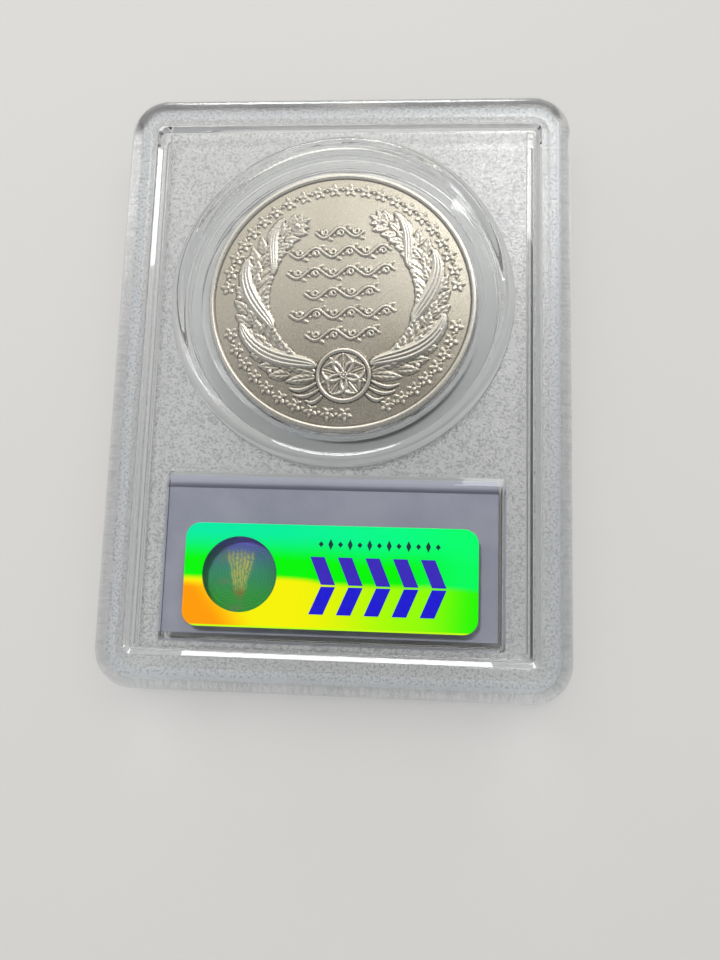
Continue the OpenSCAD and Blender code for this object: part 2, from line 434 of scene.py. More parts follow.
class Relief:
    """Heights above the coin's field at a set of points."""

    def __init__(self, x, y):
        self.x, self.y = x, y
        self.h = np.zeros_like(x)

    def near(self, px, py, reach):
        """The points near a place, with their offsets from it."""
        dx, dy = self.x - px, self.y - py
        at = np.nonzero(dx * dx + dy * dy < reach * reach)[0]
        return at, dx[at], dy[at]

    def raise_to(self, at, height):
        """Lifts the points to a height, unless they are higher already."""
        self.h[at] = np.maximum(self.h[at], height)

    def dome(self, px, py, radius, height, power=0.5):
        """A pearl."""
        at, dx, dy = self.near(px, py, radius)
        self.raise_to(at, height * (1 - (dx * dx + dy * dy) / radius**2) ** power)

    def lobe(self, px, py, turn, length, half_width):
        """The points of a lobe that grows from a place, and where they lie in it.

        u runs along its length, v is the distance aside, and d is the share of the way to its edge.
        """
        at, dx, dy = self.near(px, py, length)
        u = (dx * cos(turn) + dy * sin(turn)) / length
        v = -dx * sin(turn) + dy * cos(turn)
        inside = (u > 0) & (u < 1)
        at, u, v = at[inside], u[inside], v[inside]
        d = np.abs(v) / (half_width(u) + 1e-6)
        inside = d < 1
        return at[inside], u[inside], v[inside], d[inside]

    def leaf(self, px, py, turn, length, width, height, veins=4):
        """A pointed leaf with a sunk midrib and side veins, rising towards its tip."""
        at, u, v, d = self.lobe(
            px, py, turn, length, lambda u: width / 2 * np.sin(np.pi * u**0.75) ** 0.8
        )
        crown = np.sqrt(1 - d**3)
        rib = 0.42 * np.exp(-((v / (0.07 * width)) ** 2)) * (1 - u * 0.8)
        side_veins = 0.13 * np.cos(2 * np.pi * (u * veins - d * 0.9)) * smoothstep(0.1, 0.5, d)
        self.raise_to(at, height * (0.30 + 0.70 * u) * crown * (0.87 - rib + side_veins))

    def strip(self, line, half, height, strands=3, pointed=False):
        """A band of lengthwise strands along a line of points. pointed: its ends are narrower."""
        line = np.array(line)
        mid = line.mean(0)
        reach = np.linalg.norm(line - mid, axis=1).max() + half
        at, dx, dy = self.near(mid[0], mid[1], reach)
        px, py = dx + mid[0], dy + mid[1]
        best = np.full(len(at), np.inf)
        along = np.zeros(len(at))
        for k, (a, b) in enumerate(zip(line, line[1:])):
            ab = b - a
            t = np.clip(((px - a[0]) * ab[0] + (py - a[1]) * ab[1]) / (ab @ ab), 0, 1)
            d = np.hypot(px - a[0] - t * ab[0], py - a[1] - t * ab[1])
            closer = d < best
            best[closer] = d[closer]
            along[closer] = (k + t[closer]) / (len(line) - 1)
        width = np.full(len(at), half)
        if pointed:
            width *= 0.3 + 0.7 * np.sin(np.pi * along) ** 0.6
        inside = best < width
        w = best[inside] / width[inside]
        strand = 0.16 * np.cos(np.pi * strands * w) if strands > 1 else 0.0
        self.raise_to(at[inside], height * (np.sqrt(1 - w**4) * (0.84 + strand)))


def wreath_point(side, s, offset=0.0):
    """A place on one branch of the wreath: s runs from its foot to its tip, offset is outwards."""
    turn = WREATH_FROM + (WREATH_TO - WREATH_FROM) * s
    r = WREATH_R + offset + 0.4 * sin(pi * s) + 0.55 * s**3
    return side * r * cos(turn), r * sin(turn)


def wreath_turn(side, s, lean=0.0):
    """The direction of growth there, leaning outwards by an angle in degrees."""
    turn = WREATH_FROM + (WREATH_TO - WREATH_FROM) * s + pi / 2 - radians(lean)
    return turn if side > 0 else pi - turn


def ribbon(relief, side, start, end, half):
    """A stranded band that winds over the branch from its inner to its outer edge."""
    band = []
    for t in np.linspace(0, 1, 13):
        aside = -2.1 + 4.1 * t * t * (3 - 2 * t)
        band.append(wreath_point(side, start + (end - start) * t, aside))
    relief.strip(band, half, 0.215, 4, pointed=True)


def branch_tip(relief, side):
    """Five leaves that fan out from a pearl."""
    s = 0.965
    px, py = wreath_point(side, s, 0.1)
    for k in range(5):
        turn = wreath_turn(side, 0.97, -75 + 38 * k)
        relief.leaf(px, py, turn, 2.1 - 0.2 * abs(k - 2), 0.9, LEAF_H)
    relief.dome(px, py, 0.42, 0.21)


def wreath(relief, side):
    """One leafy branch with berries, wound with ribbons, and its tip."""
    rows = 15
    for i in range(rows):
        s = 0.03 + 0.90 * i / (rows - 1)
        size = 1.0 - 0.35 * max(0.0, s - 0.6) / 0.4
        middle_lean = 8 if i % 2 else -8
        leaves = ((36, 0.6, 1.0), (-38, -0.7, 1.0), (middle_lean, 0.0, 0.85))
        for lean, offset, scale in leaves:
            px, py = wreath_point(side, s, offset * size)
            turn = wreath_turn(side, s, lean)
            relief.leaf(px, py, turn, 3.0 * size * scale, 1.6 * size, LEAF_H)
        if i % 3 == 1:
            for offset in (1.95, -1.9):
                relief.dome(*wreath_point(side, s + 0.02, offset * size), 0.36, 0.19)
    for start, end, half in ((-0.07, 0.37, 1.2), (0.31, 0.68, 1.1), (0.66, 0.93, 0.75)):
        ribbon(relief, side, start, end, half)
    branch_tip(relief, side)


def wreath_foot(relief, side):
    """Two veined leaves and three curled strokes beside the medallion."""
    for rise, lean, length, width in ((0.5, 20, 4.8, 1.7), (-0.1, -6, 4.4, 1.5)):
        turn = radians(lean if side > 0 else 180 - lean)
        relief.leaf(side * MEDAL_R, MEDAL_Y + rise, turn, length, width, 0.215, 5)
    for k, reach in enumerate((3.7, 3.5, 2.3)):
        x, y = side * (MEDAL_R - 0.4 * k), MEDAL_Y - 0.95 - 0.92 * k
        line = [
            (x + side * t * reach, y - 0.95 * sin(0.76 * pi * t))
            for t in np.linspace(0, 1, 9)
        ]
        relief.strip(line, 0.27, 0.2, 0, pointed=True)


def petal(relief, turn):
    """A pointed, dished petal with a raised edge and a creased middle."""
    at, u, v, d = relief.lobe(
        0, MEDAL_Y, turn, 3.2, lambda u: 1.62 * np.sin(np.pi * u**0.95) ** 0.7
    )
    edge = smoothstep(0.45, 0.9, d) * np.sqrt(1 - d**6)
    crease = 0.05 * np.exp(-((v / 0.09) ** 2)) + 0.018 * np.cos(v * 16) * u
    relief.raise_to(at, 0.04 + 0.15 * edge + crease * (1 - edge))


def medallion(relief):
    """The round medallion: a raised border round a flower of five petals and its pearls."""
    at, dx, dy = relief.near(0, MEDAL_Y, MEDAL_R + 0.1)
    border_r, border_half, ground = MEDAL_R - 0.27, 0.29, 0.03
    across = (np.hypot(dx, dy) - border_r) / border_half
    relief.h[at] = np.maximum(ground, 0.21 * np.sqrt(np.clip(1 - across**2, 0, 1)))
    petals, pearls = 5, 8
    for turn, x, y in around(petals, 1.3, radians(54)):
        relief.leaf(x, MEDAL_Y + y, turn, 2.1, 0.9, 0.12)
    for turn, _, _ in around(petals, 1.0, radians(90)):
        petal(relief, turn)
    for _, x, y in around(pearls, 0.42):
        relief.dome(x, MEDAL_Y + y, 0.19, 0.21)
    relief.dome(0, MEDAL_Y, 0.26, 0.215)


def scroll_row(relief, y, half):
    """A row of running vine scrolls: a wave with a curl, a leaf and a pearl in each bay."""
    count = max(2, round(2 * half / 2.5))
    pitch = 2 * half / count
    for i in range(count):
        x0 = -half + pitch * i
        mid = x0 + pitch / 2
        flip = 1 if i % 2 else -1
        wave = [
            (x0 + pitch * t, y + flip * 0.72 * sin(pi * t)) for t in np.linspace(0, 1, 13)
        ]
        relief.strip(wave, 0.2, 0.14, 1)
        curl = []
        for a in np.linspace(0, 1, 14):
            turn, r = radians(200 - 400 * a), 0.52 - 0.34 * a
            curl.append((mid + 0.12 + r * cos(turn), y + flip * (r * sin(turn) - 0.12)))
        relief.strip(curl, 0.16, 0.13, 1)
        relief.leaf(x0 + pitch * 0.62, y + flip * 0.62, radians(28 * flip), 1.15, 0.55, 0.14)
        relief.dome(x0 + pitch * 0.14, y - flip * 0.42, 0.2, 0.13)


def border_ornaments(relief, start, end):
    """A row of small rosettes with pearls between them, along an arc of the border."""
    pitch, leaves = 2.3, 5
    count = round(radians(end - start) * BORDER_R / pitch)
    for i in range(count + 1):
        turn = radians(start + (end - start) * i / count)
        cx, cy = BORDER_R * cos(turn), BORDER_R * sin(turn)
        for spread, x, y in around(leaves, 0.1, turn):
            relief.leaf(cx + x, cy + y, spread, 0.95, 0.62, 0.17)
        relief.dome(cx, cy, 0.26, 0.17)
        if i < count:
            between = radians(start + (end - start) * (i + 0.5) / count)
            relief.dome(BORDER_R * cos(between), BORDER_R * sin(between), 0.22, 0.14)


def reverse_relief(x, y):
    """Wreath, medallion, scroll rows and rosettes of the side that is up, turned a little."""
    c, s = cos(COIN_TURN), sin(COIN_TURN)
    relief = Relief(c * x + s * y, c * y - s * x)
    for side in (1, -1):
        wreath_foot(relief, side)
        wreath(relief, side)
    medallion(relief)
    for row_y, half in SCROLL_ROWS:
        scroll_row(relief, row_y, half)
    for start, end in BORDER_ARCS:
        border_ornaments(relief, start, end)
    return relief.h


def obverse_relief(x, y):
    """A faceted star on a sunburst inside a beaded border."""
    relief = Relief(x, y)
    r, turn = np.hypot(x, y), np.arctan2(y, x)
    ray_count = 40
    rays = 0.5 + 0.5 * np.cos(turn * ray_count)
    relief.h += 0.07 * rays * smoothstep(6.5, 9.0, r) * (1 - smoothstep(14.2, 15.0, r))
    star_r, half_sector, half_tip = 9.5, radians(36), radians(18)
    folded = np.abs((turn - pi / 2 + half_sector) % (2 * half_sector) - half_sector)
    reach = star_r * sin(half_tip) / np.sin(folded + half_tip)
    star = 1 - r / np.maximum(reach, 1e-6)
    relief.h = np.maximum(relief.h, 0.21 * np.clip(star * 1.4, 0, 1) ** 0.8)
    ring_r, ring_half = 15.4, 0.2
    ring = 0.12 * np.sqrt(np.clip(1 - ((r - ring_r) / ring_half) ** 2, 0, 1))
    relief.h = np.maximum(relief.h, ring)
    beads, beads_r = 80, 17.0
    for _, bead_x, bead_y in around(beads, beads_r):
        relief.dome(bead_x, bead_y, 0.5, 0.14)
    return relief.h


def face_heights(x, y, relief):
    """Height of a coin face above its field: relief, then the raised rim, then the rounded edge."""
    r = np.hypot(x, y)
    inner = COIN_R - RIM_W
    rim = FIELD_D * smoothstep(inner - 0.1, inner + 0.22, r)
    rim -= 0.1 * smoothstep(COIN_R - 0.16, COIN_R, r) ** 2
    return np.maximum(relief(x, y) * (r < inner - 0.1), rim)


def hollow_shade_map(x, y, height, relief):
    """How far each point lies below its surroundings: where the silver gets painted shade."""
    reach, ways = 0.28, 6
    nearby = sum(face_heights(x + dx, y + dy, relief) for _, dx, dy in around(ways, reach))
    return np.maximum(nearby / ways - height, 0)


def face_grid(step):
    """Points on rings over the coin's face, the last ring's start, and the faces between rings."""
    fine_from = 9.2
    radii = np.concatenate([
        np.arange(step, fine_from - 0.05, 1.2 * step),
        np.arange(fine_from, COIN_R - 0.05, step),
        [COIN_R - 0.04],
    ])
    counts = [AROUND if r > fine_from - 0.01 else AROUND // 2 for r in radii]
    x, y, starts = [0.0], [0.0], []
    for r, n in zip(radii, counts):
        starts.append(len(x))
        turn = np.arange(n) * (2 * pi / n)
        x.extend(r * np.cos(turn))
        y.extend(r * np.sin(turn))
    first = np.arange(counts[0])
    fan = [np.zeros_like(first), starts[0] + first, starts[0] + (first + 1) % counts[0]]
    quads, tris = [], [np.stack(fan, 1)]
    for a, b, na, nb in zip(starts, starts[1:], counts, counts[1:]):
        i = np.arange(na)
        j = (i + 1) % na
        if na == nb:
            quads.append(np.stack([a + i, b + i, b + j, a + j], 1))
            continue
        tris.append(np.stack([a + i, b + 2 * i, b + 2 * i + 1], 1))
        tris.append(np.stack([a + i, b + 2 * i + 1, a + j], 1))
        tris.append(np.stack([a + j, b + 2 * i + 1, b + 2 * j], 1))
    return np.array(x), np.array(y), starts[-1], np.concatenate(quads), np.concatenate(tris)


def coin_edge(mid):
    """Four rings of points down the coin's edge, reeded between the rims."""
    turn = np.arange(AROUND) * (2 * pi / AROUND)
    reed = 0.035 * (1 - np.cos(turn * REEDS))
    half = (coin_high[2] - coin_low[2]) / 2
    top, reeded_top = half - 0.12, half - 0.28
    rings = []
    for z, depth in ((top, 0), (reeded_top, 1), (-reeded_top, 1), (-top, 0)):
        r = COIN_R - reed * depth
        rings.append(np.stack(
            [r * np.cos(turn), r * np.sin(turn) + COIN_Y, np.full(AROUND, mid + z)], 1
        ))
    return rings


def coin(name, material):
    """The struck coin: two relief faces and a reeded edge."""
    mid = (coin_low[2] + coin_high[2]) / 2
    field = (coin_high[2] - coin_low[2]) / 2 - FIELD_D
    points, faces, lasts, heights, hollow_shades = [], [], [], [], []
    count = 0
    for side, relief, step in ((1, reverse_relief, 0.1), (-1, obverse_relief, 0.2)):
        x, y, last, quads, tris = face_grid(step)
        height = face_heights(x, y, relief)
        points.append(np.stack([x, y + COIN_Y, mid + side * (field + height)], 1))
        faces += (quads[:, ::side] + count).tolist() + (tris[:, ::side] + count).tolist()
        heights.append(height)
        hollow_shades.append(hollow_shade_map(x, y, height, relief))
        lasts.append(count + last)
        count += len(x)

    edge = coin_edge(mid)
    starts = [lasts[0], *(count + k * AROUND for k in range(len(edge))), lasts[1]]
    bands = [start + np.arange(AROUND) for start in starts]
    for a, b in zip(bands, bands[1:]):
        faces += np.stack([a, b, np.roll(b, -1), np.roll(a, -1)], 1).tolist()

    mesh = bpy.data.meshes.new(name)
    mesh.from_pydata((np.concatenate(points + edge) * MM).tolist(), [], faces)
    mesh.materials.append(material)
    edge_values = np.zeros(len(edge) * AROUND)
    # the second layer holds the hollows' depth, which paints shade on the silver
    maps = {"relief": [*heights, edge_values + FIELD_D], "hollow_shade": [*hollow_shades, edge_values]}
    for layer_name, values in maps.items():
        layer = mesh.attributes.new(layer_name, "FLOAT", "POINT")
        layer.data.foreach_set("value", np.concatenate(values) / FIELD_D)
    mesh.shade_smooth()
    mesh.validate()
    piece = placed(name, mesh)
    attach(piece, "root")
    return piece


# ------------------------ label, foil and seal


def slab_piece(name, material, outlines, z0, z1, edge=0.02):
    """A thin flat piece with soft edges. outlines(inset, z) gives its rings, outer one first."""
    skin = Skin()
    levels = [(edge, z0), (0.0, z0 + edge), (0.0, z1 - edge), (edge, z1)]
    rings = [[skin.ring(r) for r in outlines(d, z)] for d, z in levels]
    for loops in zip(*rings):
        skin.bridges(list(loops))
    for level in (rings[0], rings[-1]):
        skin.cap(level[0], level[1:])
    return skin.build(name, [material])


def label_card(name, material):
    """The card, with slightly round corners."""
    mid, half = (card_low + card_high) / 2, (card_high - card_low) / 2

    def outlines(inset, z):
        hx, hy = half[0] - inset, half[1] - inset
        return [rounded_rect(mid[0], mid[1], hx, hy, 0.35, z, SMALL_STEPS)]

    return slab_piece(name, material, outlines, card_low[2], card_high[2], 0.04)


def foil_strip(name, material):
    """The foil, with its round hole over the seal. Its glue keeps it just off the window."""
    mid, half = (foil_low + foil_high) / 2, (foil_high - foil_low) / 2
    glue, corner, steps = 0.01, 2.0, 10

    def outlines(inset, z):
        return [
            rounded_rect(mid[0], mid[1], half[0] - inset, half[1] - inset, corner, z, steps),
            circle(HOLE_X, HOLE_Y, HOLE_R + inset, z, SMALL_CIRCLE_STEPS),
        ]

    return slab_piece(name, material, outlines, foil_low[2] + glue, foil_high[2])


def round_seal(name, material):
    """A thin disc with embossed circles."""
    skin = Skin()
    wave_h, wave_pitch = 0.016, 0.9
    z0, z1 = seal_low[2] + 0.005, seal_high[2] - 0.02
    levels = [(SEAL_R, z0)]
    for r in np.linspace(SEAL_R, 0.4, 60):
        z = z1 + wave_h / 2 * (1 + cos(2 * pi * (SEAL_R - r) / wave_pitch))
        levels.append((float(r), z))
    rings = skin.wall(circle(SEAL_X, SEAL_Y, r, z, SMALL_CIRCLE_STEPS) for r, z in levels)
    skin.cap(rings[0])
    skin.cap(rings[-1])
    return skin.build(name, [material])


CHEVRONS, CHEVRON_BAND_W, CHEVRON_BAND_L = 5, 18.4, 7.6
CHEVRONS_X, CHEVRONS_Y = 6.35, -28.0
LOZENGES, LOZENGE_PITCH, LOZENGES_Y = 13, 1.3, -22.5
# how deep the printed marks are sunk into the foil
MARK_SUNK = 0.02


def mark_prism(skin, outline, rise):
    """A low prism over a closed outline, standing a little above the foil."""
    low = skin.ring([(x, y, foil_high[2] - MARK_SUNK) for x, y in outline])
    high = skin.ring([(x, y, foil_high[2] + rise) for x, y in outline])
    skin.bridge(low, high)
    skin.cap(low)
    skin.cap(high)


def foil_marks(name, material):
    """A band of plain chevrons on the foil, cut by one fine level line."""
    skin = Skin()
    pitch = CHEVRON_BAND_W / CHEVRONS
    stroke, lean, gap = pitch * 0.52, pitch * 0.42, 0.13
    for k in range(CHEVRONS):
        x0 = CHEVRONS_X - CHEVRON_BAND_W / 2 + pitch * k
        for side in (-1, 1):
            y0, y1 = CHEVRONS_Y + side * gap, CHEVRONS_Y + side * CHEVRON_BAND_L / 2
            outline = [(x0 + lean, y0), (x0 + lean + stroke, y0), (x0 + stroke, y1), (x0, y1)]
            mark_prism(skin, outline, 0.012)
    return skin.build(name, [material], smooth=False)


def foil_ticks(name, material):
    """A row of small dark lozenges above the band, every other one taller."""
    skin = Skin()
    wide = 0.34
    for k in range(LOZENGES):
        x, y = CHEVRONS_X + LOZENGE_PITCH * (k - (LOZENGES - 1) / 2), LOZENGES_Y
        tall = 0.75 if k % 2 else 0.4
        mark_prism(skin, [(x - wide, y), (x, y - tall), (x + wide, y), (x, y + tall)], 0.01)
    return skin.build(name, [material], smooth=False)


# ------------------------ materials


class Graph:
    """A node tree with short calls to add nodes and link them."""

    def __init__(self, owner):
        owner.use_nodes = True
        self.tree = owner.node_tree
        self.tree.nodes.clear()

    def set(self, node, values):
        """Links or fills the node's inputs."""
        for key, value in values.items():
            socket = node.inputs[key]
            if isinstance(value, bpy.types.NodeSocket):
                self.tree.links.new(value, socket)
            elif isinstance(value, (tuple, list)) and len(value) == 3 and socket.type == "RGBA":
                socket.default_value = (*value, 1.0)
            else:
                socket.default_value = value

    def node(self, kind, inputs=None, **settings):
        node = self.tree.nodes.new("ShaderNode" + kind)
        for key, value in settings.items():
            setattr(node, key, value)
        self.set(node, inputs or {})
        return node

    def add(self, kind, inputs=None, out=0, **settings):
        """Adds a node and returns one of its outputs."""
        return self.node(kind, inputs, **settings).outputs[out]

    def math(self, operation, a, b=0.0, c=0.0):
        return self.add("Math", {0: a, 1: b, 2: c}, operation=operation)

    def product(self, a, b):
        return self.math("MULTIPLY", a, b)

    def ramp(self, value, low, high, to_low=0.0, to_high=1.0, kind="SMOOTHSTEP"):
        inputs = {0: value, 1: low, 2: high, 3: to_low, 4: to_high}
        return self.add("MapRange", inputs, interpolation_type=kind)

    def between(self, value, low, high, soft):
        """1 from low to high and 0 elsewhere, with soft ends."""
        falling = self.ramp(value, high, high + soft, 1.0, 0.0)
        return self.product(self.ramp(value, low, low + soft), falling)

    def mix(self, share, a, b):
        return self.add("Mix", {0: share, 6: a, 7: b}, out=2, data_type="RGBA")


class Paint(Graph):
    """The node tree of a new material: its shader, and the place (at) that its patterns follow."""

    def __init__(self, name):
        self.material = bpy.data.materials.new(name)
        super().__init__(self.material)
        self.shader = self.node("BsdfPrincipled")
        self.output = self.node("OutputMaterial", {"Surface": self.shader.outputs[0]})
        self.at = self.add("TexCoord", out=3)

    def xyz(self):
        return self.node("SeparateXYZ", {0: self.at}).outputs

    def noise(self, scale, detail=2.0, rough=0.5):
        inputs = {"Vector": self.at, "Scale": scale, "Detail": detail, "Roughness": rough}
        return self.add("TexNoise", inputs)

    def bump(self, height, strength, distance):
        inputs = {"Height": height, "Strength": strength, "Distance": distance}
        return self.add("Bump", inputs)

    def surface(self, **values):
        """Sets the shader's inputs and returns the material."""
        self.set(self.shader, {key.replace("_", " "): value for key, value in values.items()})
        return self.material

    def lets_lamps_through(self, tint):
        """Lamps light what clear plastic holds: their rays pass it unbent. Returns the material."""
        clear = self.add("BsdfTransparent", {"Color": tint})
        shadow = self.add("LightPath", out=1)
        both = self.add("MixShader", {0: shadow, 1: self.shader.outputs[0], 2: clear})
        self.set(self.output, {"Surface": both})
        return self.material


def linear(*screen):
    """A colour given as screen values from 0 to 255."""
    shares = [v / 255 for v in screen]
    return tuple(v / 12.92 if v < 0.0405 else ((v + 0.055) / 1.055) ** 2.4 for v in shares)


def polished_plastic(name, tint=(0.992, 0.996, 0.998)):
    """Clear moulded polystyrene, very slightly uneven, with a few hairline scratches."""
    g = Paint(name)
    swirl = g.noise(260.0, 1.0)
    waves = {"Vector": g.at, "Scale": 130.0, "Distortion": 22.0}
    streak = g.add("TexWave", waves, out=1)
    scratch = g.product(g.ramp(streak, 0.0, 0.01, 1.0, 0.0), g.ramp(swirl, 0.58, 0.66))
    height = g.math("SUBTRACT", g.product(swirl, 0.4), g.product(scratch, 0.15))
    g.surface(
        Base_Color=tint, Roughness=0.0, IOR=1.58, Transmission_Weight=1.0,
        Normal=g.bump(height, 0.035, 0.00003),
    )
    return g.lets_lamps_through((0.965, 0.972, 0.975))


def frosted_plastic(name, strength):
    """The same plastic where the mould was textured: fine grains that scatter and glint.

    strength is 1 on the recessed panels and the rails, and less on the sides.
    """
    g = Paint(name)
    grains = g.noise(3000.0, 1.5, 0.6)
    specks = g.add("TexVoronoi", {"Vector": g.at, "Scale": 4200.0})
    patches = g.noise(110.0, 3.0, 0.55)
    amount = g.ramp(patches, 0.3, 0.7, 0.6, 1.0)
    height = g.product(g.math("ADD", grains, g.product(specks, 0.5)), amount)
    dark = tuple(1 - strength * v for v in (0.42, 0.41, 0.40))
    colour = g.mix(g.ramp(grains, 0.36, 0.54), dark, (1.0, 1.0, 1.0))
    g.surface(
        Base_Color=colour, Roughness=0.08 + 0.1 * strength, IOR=1.58,
        Transmission_Weight=1 - 0.09 * strength,
        Normal=g.bump(height, 0.7 * strength, 0.0001),
    )
    return g.lets_lamps_through((0.95, 0.955, 0.96))


def weld_plastic(name):
    """Remelted plastic, cloudy with tiny bubbles."""
    g = Paint(name)
    bubbles = g.add("TexVoronoi", {"Vector": g.at, "Scale": 2600.0})
    cloud = g.noise(700.0, 3.0)
    colour = g.mix(cloud, linear(232, 236, 240), linear(248, 249, 250))
    g.surface(
        Base_Color=colour, Roughness=0.3, IOR=1.5, Transmission_Weight=0.85,
        Normal=g.bump(bubbles, 0.4, 0.00005),
    )
    return g.lets_lamps_through((0.8, 0.81, 0.82))


def coin_silver(name):
    """Satin struck silver, with a painted highlight on the raised relief and painted shade in its
    hollows.
    """
    g = Paint(name)
    relief = g.add("Attribute", out=2, attribute_name="relief")
    hollow_shade = g.add("Attribute", out=2, attribute_name="hollow_shade")
    tone = g.noise(60.0, 3.0)
    grain = g.noise(9000.0)
    field = g.mix(g.ramp(tone, 0.35, 0.7), linear(224, 215, 196), linear(236, 228, 212))
    # painted highlight: the raised relief is lighter than the field
    colour = g.mix(g.ramp(relief, 0.1, 0.9), field, linear(252, 247, 236))
    # painted shade: the hollows darken, as if the relief shadowed itself
    colour = g.mix(g.ramp(hollow_shade, 0.02, 0.32, 0.0, 0.92), colour, linear(84, 72, 62))
    rough = g.math("ADD", g.ramp(grain, 0.3, 0.7, 0.23, 0.30), g.ramp(tone, 0.3, 0.7, -0.02, 0.03))
    return g.surface(
        Base_Color=colour, Metallic=1.0, Roughness=rough, Normal=g.bump(grain, 0.18, 0.00001)
    )


def card_back(g, y):
    """Grey card, with a painted reflection strip and a painted shadow line along its end nearest
    the coin.
    """
    mottle = g.noise(160.0, 3.0)
    fibre = g.noise(2400.0, 3.0, 0.6)
    grey = g.mix(g.ramp(mottle, 0.3, 0.7), linear(141, 142, 158), linear(155, 156, 170))
    grey = g.mix(g.product(fibre, 0.35), grey, linear(170, 171, 182))
    from_end = g.math("SUBTRACT", float(card_high[1] * MM), y)
    # a pale strip along the coin end: painted reflection of the window's bevel
    grey = g.mix(g.ramp(from_end, 0.0005, 0.0009, 0.75, 0.0), grey, linear(178, 180, 192))
    # a dark line just past the strip: painted shadow of the window's bevel
    shadow_line_end = g.ramp(from_end, 0.0014, 0.0015, 1.0, 0.0)
    line = g.product(g.ramp(from_end, 0.0006, 0.0013), shadow_line_end)
    return g.mix(line, grey, linear(92, 93, 106)), fibre


def card_front(g, x, y):
    """A print of wave lines, a band, a bar block and rules, with no lettering."""
    low, high = card_low * MM, card_high * MM
    across = g.ramp(x, low[0], high[0], kind="LINEAR")
    up = g.ramp(y, low[1], high[1], kind="LINEAR")
    paper = g.mix(g.ramp(up, 0.0, 1.0), linear(226, 232, 240), linear(196, 212, 230))
    sway = g.math("SINE", g.product(across, 60.0))
    waves = g.math("SINE", g.math("MULTIPLY_ADD", sway, 2.0, g.product(up, 95.0)))
    paper = g.mix(g.ramp(waves, 0.7, 1.0, 0.0, 0.35), paper, linear(150, 176, 208))
    printed = g.mix(g.between(up, 0.80, 0.94, 0.01), paper, linear(38, 62, 120))
    cells = g.math("FLOOR", g.product(across, 190.0))
    codes = g.add("TexWhiteNoise", {"W": cells}, noise_dimensions="1D")
    block = g.product(g.between(across, 0.59, 0.93, 0.002), g.between(up, 0.12, 0.36, 0.005))
    bars = g.product(g.ramp(codes, 0.48, 0.5), block)
    rule = g.math("GREATER_THAN", g.math("FRACT", g.product(up, 9.0)), 0.62)
    column = g.product(rule, g.between(across, 0.07, 0.46, 0.002))
    rules = g.product(column, g.between(up, 0.2, 0.7, 0.01))
    ink = g.math("MAXIMUM", bars, g.product(rules, 0.85))
    return g.mix(ink, printed, linear(28, 30, 40))


def card_print(name):
    """The label's grey back, with painted reflection and painted shadow along its coin end, and its
    printed front.
    """
    g = Paint(name)
    x, y, z = g.xyz()
    grey, fibre = card_back(g, y)
    middle = (card_low[2] + card_high[2]) / 2 * MM
    back = g.ramp(z, middle, middle + 1e-5)
    return g.surface(
        Base_Color=g.mix(back, card_front(g, x, y), grey), Roughness=0.55,
        Normal=g.bump(fibre, 0.15, 0.00002),
    )


def foil_colour(g):
    """Diffraction colours by place: cyan and green above, yellow below, orange at lower left."""
    x, y, _ = g.xyz()
    low, high = foil_low * MM, foil_high * MM
    wobble = g.math("MULTIPLY_ADD", g.noise(60.0), 0.0022, -0.0011)
    height = g.math("MULTIPLY_ADD", x, 0.02, g.math("ADD", y, wobble))
    across = g.math("ADD", x, wobble)
    top = g.mix(g.ramp(across, low[0], high[0]), linear(0, 226, 158), linear(0, 244, 120))
    cyan = g.ramp(height, high[1] - 0.0052, high[1] - 0.0012)
    upper = g.mix(cyan, linear(0, 238, 2), top)
    right = g.ramp(across, high[0] - 0.011, high[0] - 0.001)
    upper = g.mix(g.product(right, 0.8), upper, linear(0, 244, 100))
    lower = g.mix(
        g.ramp(across, low[0] + 0.014, high[0] - 0.008), linear(238, 234, 0), linear(146, 244, 0)
    )
    lower = g.mix(g.ramp(across, high[0] - 0.009, high[0]), lower, linear(40, 240, 0))
    corner = g.math("MULTIPLY_ADD", y, 0.7, across)
    corner_from = low[0] + 0.7 * low[1]
    orange = g.ramp(corner, corner_from + 0.0042, corner_from + 0.0105, 1.0, 0.0)
    middle = (low[1] + high[1]) / 2
    orange = g.product(orange, g.ramp(height, middle - 0.0022, middle - 0.0008, 1.0, 0.0))
    lower = g.mix(orange, lower, linear(255, 150, 0))
    edge_line = g.ramp(y, low[1] + 0.00018, low[1] + 0.0003)
    lower = g.mix(edge_line, linear(190, 255, 20), lower)
    return g.mix(g.ramp(height, middle - 0.0012, middle - 0.0002), lower, upper)


def foil(name):
    """Bright diffraction foil with a fine ruling."""
    g = Paint(name)
    waves = {"Vector": g.at, "Scale": 1500.0, "Distortion": 0.6}
    ruling = g.add("TexWave", waves, out=1, bands_direction="Y")
    wear = g.noise(500.0)
    return g.surface(
        Base_Color=foil_colour(g), Roughness=g.ramp(wear, 0.3, 0.75, 0.30, 0.38),
        Specular_IOR_Level=0.2, Coat_Weight=0.08, Coat_Roughness=0.1,
        Normal=g.bump(ruling, 0.05, 0.00001),
    )


def foil_ink(name, low_colour, high_colour):
    """Coloured metallic ink, from one shade to another up the strip."""
    g = Paint(name)
    _, y, _ = g.xyz()
    grain = g.noise(1500.0)
    middle = CHEVRONS_Y * MM
    shade = g.ramp(y, middle - 0.0004, middle + 0.0006)
    colour = g.mix(shade, low_colour, high_colour)
    return g.surface(
        Base_Color=g.mix(g.product(grain, 0.2), colour, linear(90, 90, 200)), Metallic=0.3,
        Roughness=0.3, Coat_Weight=0.4, Coat_Roughness=0.1, Normal=g.bump(grain, 0.1, 0.00001),
    )


